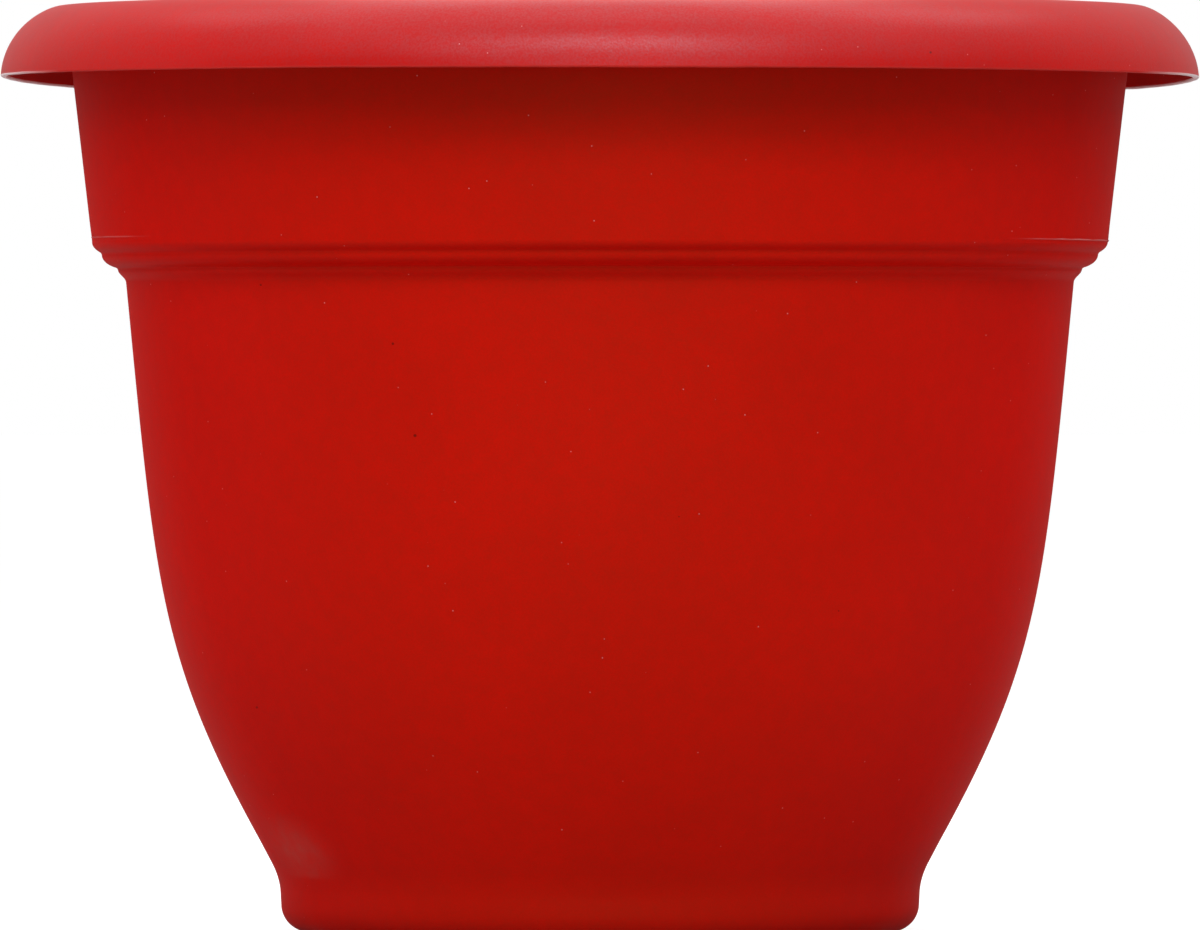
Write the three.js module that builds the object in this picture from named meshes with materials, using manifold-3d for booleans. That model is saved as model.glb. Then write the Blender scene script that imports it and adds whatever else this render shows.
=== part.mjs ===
// A bell-shaped flower planter with a rolled rim, a lift-out soil grid and four drain plugs.
// Millimetres, +Z up. The origin is the centre of the foot, at ground level.
import * as THREE from 'three';
import { mergeVertices } from 'three/addons/utils/BufferGeometryUtils.js';
import Module from 'manifold-3d';

const wasm = await Module();
wasm.setup();

// Corners of the shell's outline are pairs of radius and height.

// Rolled rim: the thin lip it ends in, its crown, and the foot of its curl inside the pot
const WALL = 2.4;
const LIP = [203, 289.5];
const LIP_THICKNESS = 2.2;
const CROWN = [183.2, 313.2];
const CURL_FOOT_HEIGHT = 306.5;

// Tapered band
const BAND_TOP = [180.7, 308];
const BAND_FOOT = [172.05, 233.4];

// Beads: the corner below each of the two upper ones, and the slope they end in
const UPPER_BEAD_CORNER = [168.85, 229.7];
const MIDDLE_BEAD_CORNER = [163.4, 224.6];
const BEAD_SLOPE = THREE.MathUtils.degToRad(63);
const INNER_SHOULDER = [169.2, 234.5];
const INNER_NECK = [159.1, 222.5];

// Bell: its ends, its lean from upright there, and how far each end's straight run carries
const BELL_TOP = [160.5, 219.4];
const BELL_TOP_LEAN = THREE.MathUtils.degToRad(5.5);
const BELL_TOP_PULL = 103.4;
const BELL_FOOT = [115.25, 30.8];
const BELL_FOOT_LEAN = THREE.MathUtils.degToRad(28.9);
const BELL_FOOT_PULL = 70.4;

// Waist and foot
const WAIST_HIGH = [111.4, 23.5];
const WAIST_CORNER = [108.45, 17.9];
const WAIST_LOW = [108.3, 12.9];
const FOOT_RADIUS = 108.1;
const FOOT_ROUNDING = 9.2;

// Base: a flat ring on the ground around a raised, ribbed floor
const RING_INNER_RADIUS = 90;
const RECESS_RADIUS = 86;
const RECESS_DEPTH = 4;
const FLOOR_TOP = 6.5;
const RIB_COUNT = 8;
const RIB_WIDTH = 1.6;
const RIB_DEPTH = 2;
const HUB_RADIUS = 30;
const GATE_RADIUS = 5;
const GATE_DEPTH = 1;

// Drain holes and plugs
const CLEARANCE = 0.3;
const DRAIN_COUNT = 4;
const DRAIN_CIRCLE = 62;
const DRAIN_RADIUS = 6.5;
const PLUG_LENGTH = 6.6;
const PLUG_CHAMFER = 1.2;
const PLUG_CORE_RADIUS = 3.2;
const FLANGE_RADIUS = 10;
const FLANGE_THICKNESS = 2.2;
const FLANGE_EDGE = 0.6;
const TAB_LENGTH = 5;
const TAB_WIDTH = 8;

// Soil grid: a slotted disc with a turned-down skirt, on slotted hollow feet
const GRID_RADIUS = 117.6;
const GRID_TOP = 46;
const GRID_THICKNESS = 2.2;
const GRID_EDGE = 1;
const SKIRT_DEPTH = 7;
const SKIRT_TAPER = 1.4;
const CUP_COUNT = 4;
const CUP_CIRCLE = 46;
const CUP_TOP_RADIUS = 15;
const CUP_FOOT_RADIUS = 10;
const CUP_WALL = 1.8;
const SLOT_WIDTH = 3;
const SLOT_RINGS = [
  { inner: 92, outer: 109, count: 36 },
  { inner: 71, outer: 86, count: 24 },
];
const FINGER_HOLE_RADIUS = 10;

const SHELL_SEGMENTS = 48;
const SMALL_SEGMENTS = 20;
const THROUGH = 1;

const point = (radius, height) => new THREE.Vector2(radius, height);

// A point a given distance from another, along a line that leans outward from upright.
const leaning = (from, distance, lean) => point(
  from.x + distance * Math.sin(lean),
  from.y + distance * Math.cos(lean),
);

// The points of a curve after its first one, which the outline already has.
const along = (curve, steps) => curve.getPoints(steps).slice(1);

// The angle of one of a ring of equally spaced features.
const turn = (step, count) => (step * 2 * Math.PI) / count;

// A mesh that manifold-3d accepts: shared vertices, and no triangle collapsed on the axis.
function toSolid(geometry) {
  geometry.deleteAttribute('normal');
  geometry.deleteAttribute('uv');
  const merged = mergeVertices(geometry);
  const index = merged.index.array;
  const triangles = [];
  for (let i = 0; i < index.length; i += 3) {
    const [a, b, c] = index.slice(i, i + 3);
    if (a !== b && b !== c && c !== a) triangles.push(a, b, c);
  }
  return new wasm.Manifold(new wasm.Mesh({
    numProp: 3,
    vertProperties: new Float32Array(merged.attributes.position.array),
    triVerts: new Uint32Array(triangles),
  }));
}

function toMesh(solid, name, material) {
  const { vertProperties, triVerts } = solid.getMesh();
  const geometry = new THREE.BufferGeometry();
  geometry.setAttribute('position', new THREE.BufferAttribute(vertProperties, 3));
  geometry.setIndex(new THREE.BufferAttribute(triVerts, 1));
  geometry.computeVertexNormals();
  const mesh = new THREE.Mesh(geometry, material);
  mesh.name = name;
  return mesh;
}

// Turns an outline about +Z. It runs from axis to axis, low to high along its outer side.
function revolve(outline, segments) {
  const geometry = new THREE.LatheGeometry(outline, segments);
  geometry.rotateX(Math.PI / 2);
  return toSolid(geometry);
}

function cylinder(radius, low, high) {
  const geometry = new THREE.CylinderGeometry(radius, radius, high - low, SMALL_SEGMENTS);
  geometry.rotateX(Math.PI / 2);
  geometry.translate(0, 0, (low + high) / 2);
  return toSolid(geometry);
}

// A bar along a radius, from one radius to another.
function radialBar(angle, inner, outer, width, low, high) {
  const geometry = new THREE.BoxGeometry(outer - inner, width, high - low);
  geometry.translate((inner + outer) / 2, 0, (low + high) / 2);
  geometry.rotateZ(angle);
  return toSolid(geometry);
}

const moveOut = (solid, radius, angle) => solid.translate([
  radius * Math.cos(angle),
  radius * Math.sin(angle),
  0,
]);

// The radius of the band's outer face, which tapers evenly from top to foot.
function bandRadius(height) {
  const share = (height - BAND_FOOT[1]) / (BAND_TOP[1] - BAND_FOOT[1]);
  return THREE.MathUtils.lerp(BAND_FOOT[0], BAND_TOP[0], share);
}

function makeBellLine() {
  const foot = point(...BELL_FOOT);
  const top = point(...BELL_TOP);
  return new THREE.CubicBezierCurve(
    foot,
    leaning(foot, BELL_FOOT_PULL, BELL_FOOT_LEAN),
    leaning(top, -BELL_TOP_PULL, BELL_TOP_LEAN),
    top,
  );
}

// A bead is a rounded step: upright at its top edge, and sloping in to its lower corner.
function beadCurve(corner, top) {
  const shoulder = point(top.x, corner.y + (top.x - corner.x) / Math.tan(BEAD_SLOPE));
  return new THREE.QuadraticBezierCurve(corner, shoulder, top);
}

// The lowest bead rounds off into the bell instead of ending in a corner.
function lowBeadCurve() {
  const [radius, height] = BELL_TOP;
  const top = point(...MIDDLE_BEAD_CORNER);
  const pull = (top.y - height) * 0.45;
  return new THREE.CubicBezierCurve(
    point(radius, height),
    point(radius, height + pull),
    point(top.x, top.y - pull),
    top,
  );
}

// Foot, waist, bell, beads and band, from the ground up.
function outerWall() {
  const ringOuter = FOOT_RADIUS - FOOT_ROUNDING;
  const footArc = new THREE.EllipseCurve(
    ringOuter, FOOT_ROUNDING, FOOT_ROUNDING, FOOT_ROUNDING, -Math.PI / 2, 0,
  );
  const waist = new THREE.QuadraticBezierCurve(
    point(...WAIST_LOW), point(...WAIST_CORNER), point(...WAIST_HIGH),
  );
  const middleBead = beadCurve(point(...MIDDLE_BEAD_CORNER), point(...UPPER_BEAD_CORNER));
  const upperBead = beadCurve(point(...UPPER_BEAD_CORNER), point(...BAND_FOOT));
  return [
    point(ringOuter, 0),
    ...along(footArc, 4),
    point(...WAIST_LOW),
    ...along(waist, 3),
    point(...BELL_FOOT),
    ...along(makeBellLine(), 7),
    ...along(lowBeadCurve(), 4),
    ...along(middleBead, 3),
    ...along(upperBead, 3),
    point(...BAND_TOP),
  ];
}

// The hollow under the rim, the lip, the domed top and the curl down into the pot.
function rolledRim() {
  const lip = point(...LIP);
  const crown = point(...CROWN);
  const hollowTop = point(CROWN[0], CROWN[1] - WALL);
  const hollowEdge = point(LIP[0] - LIP_THICKNESS, LIP[1]);
  const hollow = new THREE.CubicBezierCurve(
    hollowTop,
    point(hollowTop.x + 7, hollowTop.y),
    point(hollowEdge.x - 1.6, hollowEdge.y + 18),
    hollowEdge,
  );
  const dome = new THREE.CubicBezierCurve(
    lip, point(lip.x - 1.7, lip.y + 20.1), point(crown.x + 0.7, crown.y), crown,
  );
  const curlFoot = point(bandRadius(CURL_FOOT_HEIGHT) - WALL, CURL_FOOT_HEIGHT);
  const curl = new THREE.CubicBezierCurve(
    crown, point(crown.x - 3, crown.y), point(curlFoot.x + 0.4, curlFoot.y + 3.7), curlFoot,
  );
  return [
    hollowTop,
    ...along(hollow, 5),
    lip,
    ...along(dome, 7),
    ...along(curl, 3),
  ];
}

// The inside of the band, beads, bell and foot, from the rim down.
function innerWall() {
  const bell = makeBellLine();
  const bellSteps = 6;
  const points = [point(bandRadius(237) - WALL, 237), point(...INNER_SHOULDER), point(...INNER_NECK)];
  for (let i = bellSteps; i >= 0; i -= 1) {
    const outer = bell.getPoint(i / bellSteps);
    const tangent = bell.getTangent(i / bellSteps);
    points.push(point(outer.x - WALL * tangent.y, outer.y + WALL * tangent.x));
  }
  const troughRounding = FOOT_ROUNDING - WALL;
  const trough = new THREE.EllipseCurve(
    FOOT_RADIUS - FOOT_ROUNDING, FOOT_ROUNDING, troughRounding, troughRounding, 0, -Math.PI / 2, true,
  );
  points.push(point(WAIST_HIGH[0] - WALL, WAIST_HIGH[1] + 0.5));
  points.push(point(WAIST_LOW[0] - WALL, WAIST_LOW[1] + 1));
  points.push(point(FOOT_RADIUS - WALL, FOOT_ROUNDING));
  points.push(...along(trough, 3));
  return points;
}

// The moulded shell, with its ribbed and drained base.
function makePlanterBody() {
  const slope = 1.8;
  let solid = revolve([
    point(0, RECESS_DEPTH),
    point(RECESS_RADIUS, RECESS_DEPTH),
    point(RING_INNER_RADIUS, 0),
    ...outerWall(),
    ...rolledRim(),
    ...innerWall(),
    point(RING_INNER_RADIUS + slope, WALL),
    point(RECESS_RADIUS + slope, FLOOR_TOP),
    point(0, FLOOR_TOP),
  ], SHELL_SEGMENTS);

  const ribLow = RECESS_DEPTH - RIB_DEPTH;
  const rooted = RECESS_DEPTH + 0.5;
  for (let i = 0; i < RIB_COUNT; i += 1) {
    const angle = turn(i + 0.5, RIB_COUNT);
    solid = solid.add(radialBar(angle, HUB_RADIUS, RECESS_RADIUS + slope, RIB_WIDTH, ribLow, rooted));
  }
  const hub = cylinder(HUB_RADIUS + RIB_WIDTH, ribLow, rooted);
  solid = solid.add(hub.subtract(cylinder(HUB_RADIUS, ribLow - THROUGH, RECESS_DEPTH)));
  solid = solid.add(cylinder(GATE_RADIUS, RECESS_DEPTH - GATE_DEPTH, rooted));

  for (let i = 0; i < DRAIN_COUNT; i += 1) {
    const hole = cylinder(DRAIN_RADIUS, -THROUGH, FLOOR_TOP + THROUGH);
    solid = solid.subtract(moveOut(hole, DRAIN_CIRCLE, turn(i + 0.5, DRAIN_COUNT)));
  }
  return solid;
}

// A plug about +Z: a flange with a pull tab below the floor, and a cored shank up the hole.
function makeDrainPlug() {
  const flangeTop = RECESS_DEPTH - CLEARANCE;
  const flangeLow = flangeTop - FLANGE_THICKNESS;
  const shankRadius = DRAIN_RADIUS - CLEARANCE;
  const tip = flangeLow + PLUG_LENGTH;
  const plug = revolve([
    point(0, flangeLow),
    point(FLANGE_RADIUS - FLANGE_EDGE, flangeLow),
    point(FLANGE_RADIUS, flangeLow + FLANGE_EDGE),
    point(FLANGE_RADIUS, flangeTop),
    point(shankRadius, flangeTop),
    point(shankRadius, tip - PLUG_CHAMFER),
    point(shankRadius - PLUG_CHAMFER, tip),
    point(0, tip),
  ], SMALL_SEGMENTS);
  const tabEnd = FLANGE_RADIUS + TAB_LENGTH;
  const tab = radialBar(0, shankRadius, tabEnd, TAB_WIDTH, flangeLow, flangeTop - FLANGE_EDGE);
  const core = cylinder(PLUG_CORE_RADIUS, flangeLow - THROUGH, tip - 2);
  return plug.add(tab).subtract(core);
}

// A tapered solid from the foot of a cup up to a given height, narrowed all round.
const cupCone = (narrowed, low, high) => revolve([
  point(0, low),
  point(CUP_FOOT_RADIUS - narrowed, low),
  point(CUP_TOP_RADIUS - narrowed, high),
  point(0, high),
], SMALL_SEGMENTS);

// The grid. Its cups stand on the floor, hold soil down in the water and let it in by slots.
function makeSoilGrid() {
  const under = GRID_TOP - GRID_THICKNESS;
  const skirtLow = GRID_TOP - SKIRT_DEPTH;
  const skirtFoot = GRID_RADIUS - SKIRT_TAPER;
  let solid = revolve([
    point(0, under),
    point(skirtFoot - CUP_WALL + 1, under),
    point(skirtFoot - CUP_WALL, skirtLow),
    point(skirtFoot, skirtLow),
    point(GRID_RADIUS, GRID_TOP - GRID_EDGE),
    point(GRID_RADIUS - GRID_EDGE, GRID_TOP),
    point(0, GRID_TOP),
  ], SHELL_SEGMENTS);

  const cupLow = FLOOR_TOP + CLEARANCE;
  for (let i = 0; i < CUP_COUNT; i += 1) {
    let cup = cupCone(0, cupLow, GRID_TOP - GRID_EDGE);
    for (const angle of [0, Math.PI / 2]) {
      cup = cup.subtract(radialBar(
        angle, -CUP_TOP_RADIUS, CUP_TOP_RADIUS, SLOT_WIDTH, cupLow + 5, under - 8,
      ));
    }
    const inside = cupCone(CUP_WALL, cupLow + CUP_WALL, GRID_TOP + THROUGH);
    solid = solid.add(moveOut(cup, CUP_CIRCLE, turn(i, CUP_COUNT)));
    solid = solid.subtract(moveOut(inside, CUP_CIRCLE, turn(i, CUP_COUNT)));
    const fingerHole = cylinder(FINGER_HOLE_RADIUS, under - THROUGH, GRID_TOP + THROUGH);
    solid = solid.subtract(moveOut(fingerHole, CUP_CIRCLE, turn(i + 0.5, CUP_COUNT)));
  }

  for (const { inner, outer, count } of SLOT_RINGS) {
    for (let i = 0; i < count; i += 1) {
      solid = solid.subtract(radialBar(
        turn(i + 0.5, count), inner, outer, SLOT_WIDTH, under - THROUGH, GRID_TOP + THROUGH,
      ));
    }
  }
  return solid;
}

const redPlastic = new THREE.MeshStandardMaterial({ color: 0xb41a12, roughness: 0.5, metalness: 0 });
const greyPlastic = new THREE.MeshStandardMaterial({ color: 0x3a3c3e, roughness: 0.6, metalness: 0 });
const softRubber = new THREE.MeshStandardMaterial({ color: 0x1c1c1c, roughness: 0.8, metalness: 0 });

const planter = new THREE.Group();
planter.add(toMesh(makePlanterBody(), 'planter_body', redPlastic));
planter.add(toMesh(makeSoilGrid(), 'soil_grid', greyPlastic));
for (let i = 0; i < DRAIN_COUNT; i += 1) {
  const angle = turn(i + 0.5, DRAIN_COUNT);
  const plug = toMesh(makeDrainPlug(), `drain_plug_${i + 1}`, softRubber.clone());
  plug.position.set(DRAIN_CIRCLE * Math.cos(angle), DRAIN_CIRCLE * Math.sin(angle), 0);
  plug.rotation.z = angle + Math.PI;
  planter.add(plug);
}

export default planter;
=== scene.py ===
"""A bell-shaped red plastic planter with a rolled rim, a soil grid and drain plugs, in metres."""
import math

import bmesh
import bpy
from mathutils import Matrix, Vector, noise


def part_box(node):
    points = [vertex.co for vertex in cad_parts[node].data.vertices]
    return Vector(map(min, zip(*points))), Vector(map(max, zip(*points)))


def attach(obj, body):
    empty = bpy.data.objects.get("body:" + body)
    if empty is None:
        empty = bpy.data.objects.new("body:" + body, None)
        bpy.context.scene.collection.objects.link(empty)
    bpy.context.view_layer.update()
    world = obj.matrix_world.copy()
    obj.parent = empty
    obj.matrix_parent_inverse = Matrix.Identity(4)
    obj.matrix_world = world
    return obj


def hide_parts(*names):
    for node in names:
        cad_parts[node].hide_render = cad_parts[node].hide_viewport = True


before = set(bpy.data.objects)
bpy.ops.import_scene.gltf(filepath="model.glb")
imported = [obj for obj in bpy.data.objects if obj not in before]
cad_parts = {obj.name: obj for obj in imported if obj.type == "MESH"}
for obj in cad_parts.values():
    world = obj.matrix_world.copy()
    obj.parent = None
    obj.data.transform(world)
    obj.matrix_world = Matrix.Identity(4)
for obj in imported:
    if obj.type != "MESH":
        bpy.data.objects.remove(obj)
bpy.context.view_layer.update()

# Outlines are worked out in millimetres, as (radius, height), and meshes are made in metres.
MM = 0.001

# The frame gives the rim's reach, the height, the grid and the plugs.
SHELL_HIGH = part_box("planter_body")[1] / MM
GRID_LOW, GRID_HIGH = (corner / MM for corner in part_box("soil_grid"))
PLUG_LOW, PLUG_HIGH = (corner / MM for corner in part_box("drain_plug_1"))

# Rolled rim: lip, crown and curl
WALL = 2.4
LIP = (SHELL_HIGH.x, 289.5)
LIP_THICKNESS = 2.2
LIP_ROUNDING = 0.8
CROWN = (183.2, SHELL_HIGH.z)
CURL_FOOT_HEIGHT = 306.5

# Handles of the rim's Bezier curves, as steps in radius and height from the end that is named
DOME_FROM_LIP = (-1.2, 17.3)
DOME_FROM_CROWN = (3.4, 0.0)
HOLLOW_FROM_TOP = (7.0, 0.0)
HOLLOW_FROM_LIP = (-1.6, 18.0)
CURL_FROM_CROWN = (-3.0, 0.0)
CURL_FROM_FOOT = (0.4, 3.7)

# How far out the fillet between the band and the rim's hollow leans
FILLET_LEAN = 0.33

# A large thin rim warps a little as it cools: its lip droops at the back, most of all on the
# right, waves slightly all the way round, and is not quite level.
BACK_DROOP = 2.6
RIGHT_DROOP = 0.5
FRONT_DROOP = 0.2
RIM_DROOP = 0.2
LIP_TILT = 0.22
LIP_WAVE = 0.12
LIP_WAVE_LENGTH = 12
LIP_WAVE_HEIGHT = 6

# Where each droop starts and where it is full, counted from 1 at the front through 0 at the
# sides to -1 at the back. The right side's droop fades out again before the back.
FRONT_DROOP_SPAN = (0.9, 1)
BACK_DROOP_SPAN = (0.1, -0.6)
RIGHT_DROOP_SPAN = (0.3, -0.1)
RIGHT_DROOP_FADE = (-0.6, -0.3)

# The lip's edge carries a pale painted highlight, most of all where it is seen end on.
LIP_HIGHLIGHT_DEPTH = 0.7
LIP_HIGHLIGHT_SPAN = (0.5, 0.15)
FRONT_HIGHLIGHT = 0.03

# Tapered band, and the fine parting line near its foot
BAND_TOP = (180.7, 308.0)
BAND_FOOT = (172.05, 233.4)
PARTING_HEIGHT = 234.4
PARTING_TILT = 0.6
PARTING_HALF_WIDTH = 0.3
PARTING_PROUD = 0.4
# The parting line's pale painted highlight, a glint
PARTING_HIGHLIGHT = 0.25
PARTING_WAVE = 0.2
PARTING_WAVE_LENGTH = 9
PARTING_TOLERANCE = 0.05

# Where the parting line starts to show and where it is full, from 0 at the front to 1 at a side
RIGHT_PARTING_SPAN = (0.78, 0.95)
LEFT_PARTING_SPAN = (0.86, 0.95)
LEFT_PARTING_SHARE = 0.5

# Margin for telling one part of the shell's surface from another
MARGIN = 1

# Beads
UPPER_BEAD_CORNER = (168.85, 229.7)
MIDDLE_BEAD_CORNER = (163.4, 224.6)
UPPER_BEAD_SLOPE = math.radians(62)
MIDDLE_BEAD_SLOPE = math.radians(75)
CREASE_ROUNDING = 0.7
CREASE_CLEARANCE = 0.2
LOW_BEAD_PULL = 0.45

# Bell
BELL_TOP = (160.5, 219.4)
BELL_TOP_LEAN = math.radians(5.5)
BELL_TOP_PULL = 103.4
BELL_FOOT = (115.25, 30.8)
BELL_FOOT_LEAN = math.radians(28.9)
BELL_FOOT_PULL = 70.4

# Waist and foot
WAIST_HIGH = (111.4, 23.5)
WAIST_CORNER = (108.45, 17.9)
WAIST_LOW = (108.3, 12.9)
FOOT_RADIUS = 108.1
FOOT_ROUNDING = 9.2

# Inside of the wall, and how much higher the waist's three points are inside than outside
INNER_BAND_HEIGHT = 270.0
INNER_SHOULDER = (169.2, 234.5)
INNER_SHOULDER_ROUNDING = 3.0
INNER_NECK = (159.1, 222.5)
INNER_NECK_ROUNDING = 2.0
INNER_WAIST_RISES = (0.5, 0.7, 1.0)

# Base: a ring on the ground around a raised floor, with ribs, a hub ring and a gate mark below
RING_INNER_RADIUS = 90.0
RING_ROUNDING = 0.6
RECESS_RADIUS = 86.0
RECESS_DEPTH = 4.0
RECESS_ROUNDING = 0.8
FLOOR_TOP = 6.5
FLOOR_SLOPE = 1.8
FLOOR_ROUNDING = 1.0
RIB_COUNT = 8
RIB_WIDTH = 1.6
RIB_DEPTH = 2.0
HUB_RADIUS = 30.0
GATE_RADIUS = 5.0
GATE_DEPTH = 1.0
GATE_EDGE = 0.3
DIMPLE_RADIUS = 2.0
DIMPLE_FLOOR_RADIUS = 1.6

# Drain holes
DRAIN_COUNT = 4
DRAIN_CIRCLE = 62.0
DRAIN_RADIUS = 6.5
DRAIN_CHAMFER = 0.35

# Plugs: core, flange, and a pull tab that is a little thinner than the flange
CLEARANCE = 0.3
PLUG_CORE_RADIUS = 3.2
PLUG_CORE_TAPER = 0.4
PLUG_ROOF = 2.0
FLANGE_RADIUS = 10.0
FLANGE_THICKNESS = 2.2
FLANGE_ROUNDING = 0.6
FLANGE_TOP_ROUNDING = 0.3
TAB_START = 4.0
TAB_LENGTH = 5.0
TAB_WIDTH = 8.0
TAB_RISE = 0.02
TAB_STEP = 0.6

# Plug's shank: heights above the flange, and depths in from its side
SHANK_FOOT_HEIGHT = 0.9
GROOVE_HEIGHT = 1.3
GROOVE_DEPTH = 0.5
BULGE_HEIGHT = 2.2
BULGE_ROUNDING = 0.5
TIP_TAPER = 1.2
TIP_ROUNDING = 0.4

# Soil grid: disc and skirt
GRID_TOP = GRID_HIGH.z
GRID_THICKNESS = 2.2
GRID_UNDER = GRID_TOP - GRID_THICKNESS
GRID_EDGE = 1.0
GRID_EDGE_ROUNDING = 0.5
SKIRT_DEPTH = 7.0
SKIRT_TAPER = 1.4
SKIRT_INNER_TAPER = 1.0
SKIRT_ROUNDING = 1.0
RING_RIBS = (64.0, 89.0)
RING_RIB_WIDTH = 1.6
RING_RIB_DEPTH = 3.0
FINGER_HOLE_RADIUS = 10.0

# Soil grid: hollow feet, with slots in their sides that start and end at these radii
CUP_COUNT = 4
CUP_CIRCLE = 46.0
CUP_TOP_RADIUS = 15.0
CUP_FOOT_RADIUS = 10.0
CUP_WALL = 1.8
CUP_SLOT_COUNT = 4
CUP_SLOT_ENDS = (6.0, 17.0)
CUP_SLOT_ABOVE_FOOT = 5.0
CUP_SLOT_BELOW_DISC = 8.0

# Soil grid: rings of slots in the disc, each with its inner radius, outer radius and count
SLOT_WIDTH = 3.0
SLOT_RINGS = ((92.0, 109.0, 36), (71.0, 86.0, 24))

# How far a joined body reaches into its neighbour, and a cutting body past the face it cuts
FLOOR_ROOT = 0.8
HUB_ROOT = 0.5
RECESS_ROOT = 1.2
GRID_ROOT = 0.5
CUT_PAST = 1.0

# Corners closer than this are merged.
MERGE_DISTANCE = 0.002

# Softening of moulded edges, and the angles in degrees from which an edge is softened or shaded
# as sharp
GRID_SOFTENING = 0.25
PLUG_SOFTENING = 0.2
SOFTENED_ANGLE = 50
SHELL_SHARP_ANGLE = 35
GRID_SHARP_ANGLE = 15
PLUG_SHARP_ANGLE = 25

# Sides of each turned body
SHELL_SEGMENTS = 288
GRID_SEGMENTS = 192
SMALL_SEGMENTS = 48

# Straight steps in each curve
FOOT_STEPS = 14
WAIST_STEPS = 12
BELL_STEPS = 44
BEAD_STEPS = 12
CREASE_STEPS = 5
BAND_STEPS = 16
FILLET_STEPS = 6
HOLLOW_STEPS = 24
LIP_INNER_STEPS = 5
LIP_OUTER_STEPS = 6
DOME_STEPS = 48
CURL_STEPS = 16
INNER_SHOULDER_STEPS = 6
INNER_NECK_STEPS = 5
INNER_WAIST_STEPS = 6
INNER_FOOT_STEPS = 8
EDGE_STEPS = 3
BAR_END_STEPS = 8


# ---------------------------------------------------------------- outlines

def curve(points, steps):
    """The points of a Bezier curve after its first one, which the outline already has."""
    found = []
    for i in range(1, steps + 1):
        level = [Vector(p) for p in points]
        while len(level) > 1:
            level = [a.lerp(b, i / steps) for a, b in zip(level, level[1:])]
        found.append(tuple(level[0]))
    return found


def arc(centre, radius, start, end, steps):
    """The points of an arc after its first one. Angles are in degrees, counterclockwise."""
    found = []
    for i in range(1, steps + 1):
        angle = math.radians(start + (end - start) * i / steps)
        found.append((centre[0] + radius * math.cos(angle), centre[1] + radius * math.sin(angle)))
    return found


def line(start, end, steps):
    """The points of a straight run after its first one."""
    return curve([start, end], steps)


def leaning(start, distance, lean):
    """A point some distance up from a start, along a line that leans out by an angle."""
    return (start[0] + distance * math.sin(lean), start[1] + distance * math.cos(lean))


def moved(start, step):
    """A point one step in radius and height from a start."""
    return (start[0] + step[0], start[1] + step[1])


def rounded(before, corner, after, size, steps=EDGE_STEPS):
    """A corner rounded between the points a given distance along its two sides."""
    corner = Vector(corner)
    start = corner + (Vector(before) - corner).normalized() * size
    end = corner + (Vector(after) - corner).normalized() * size
    return [tuple(start)] + curve([start, corner, end], steps)


def smoothstep(low, high, value):
    """0 at the low end to 1 at the high end, eased. The ends may be given in either order."""
    t = min(max((value - low) / (high - low), 0.0), 1.0)
    return t * t * (3 - 2 * t)


def band_radius(height):
    """The radius of the band's outer face, which tapers evenly."""
    share = (height - BAND_FOOT[1]) / (BAND_TOP[1] - BAND_FOOT[1])
    return BAND_FOOT[0] + (BAND_TOP[0] - BAND_FOOT[0]) * share


def bell_line():
    """The bell's outer line, from above the waist to the lowest bead."""
    return [BELL_FOOT] + curve([
        BELL_FOOT,
        leaning(BELL_FOOT, BELL_FOOT_PULL, BELL_FOOT_LEAN),
        leaning(BELL_TOP, -BELL_TOP_PULL, BELL_TOP_LEAN),
        BELL_TOP,
    ], BELL_STEPS)


def inside_of(points, wall):
    """The points one wall thickness inside a line that runs upward, from top to foot."""
    found = []
    for i, (radius, height) in enumerate(points):
        low = points[max(i - 1, 0)]
        high = points[min(i + 1, len(points) - 1)]
        along = Vector((high[0] - low[0], high[1] - low[1])).normalized()
        found.append((radius - wall * along.y, height + wall * along.x))
    return found[::-1]


def bead(corner, top, slope):
    """A rounded step: upright at its top edge, and sloping in to its lower corner."""
    shoulder = (top[0], corner[1] + (top[0] - corner[0]) / math.tan(slope))
    return curve([corner, shoulder, top], BEAD_STEPS)


def low_bead():
    """The lowest bead rounds off into the bell instead of ending in a corner."""
    top = MIDDLE_BEAD_CORNER
    pull = (top[1] - BELL_TOP[1]) * LOW_BEAD_PULL
    return curve([BELL_TOP, moved(BELL_TOP, (0, pull)), moved(top, (0, -pull)), top], BEAD_STEPS)


def apart(points, corner):
    """The points that stand clear of a rounded crease."""
    clear = CREASE_ROUNDING + CREASE_CLEARANCE
    return [p for p in points if math.dist(p, corner) > clear]


def crease(before, corner, after):
    """The rounded corner between one bead and the next."""
    return rounded(before[-3], corner, after[1], CREASE_ROUNDING, CREASE_STEPS)


def beads():
    """The three beads, from the bell up to the band, with a soft crease between each pair."""
    low = low_bead()
    middle = bead(MIDDLE_BEAD_CORNER, UPPER_BEAD_CORNER, MIDDLE_BEAD_SLOPE)
    upper = bead(UPPER_BEAD_CORNER, BAND_FOOT, UPPER_BEAD_SLOPE)
    points = apart(low, MIDDLE_BEAD_CORNER)
    points += crease(low, MIDDLE_BEAD_CORNER, middle)
    points += apart(apart(middle, MIDDLE_BEAD_CORNER), UPPER_BEAD_CORNER)
    points += crease(middle, UPPER_BEAD_CORNER, upper)
    return points + apart(upper, UPPER_BEAD_CORNER)


def outer_wall():
    """Foot, waist, bell, beads and band, from the ground up."""
    ring_outer = FOOT_RADIUS - FOOT_ROUNDING
    parting_low = PARTING_HEIGHT - PARTING_HALF_WIDTH
    parting_high = PARTING_HEIGHT + PARTING_HALF_WIDTH
    points = [(ring_outer, 0.0)]
    points += arc((ring_outer, FOOT_ROUNDING), FOOT_ROUNDING, -90, 0, FOOT_STEPS)
    points += [WAIST_LOW]
    points += curve([WAIST_LOW, WAIST_CORNER, WAIST_HIGH], WAIST_STEPS)
    points += bell_line()
    points += beads()
    points += [(band_radius(h), h) for h in (parting_low, PARTING_HEIGHT, parting_high)]
    return points + line(points[-1], BAND_TOP, BAND_STEPS)


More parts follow.
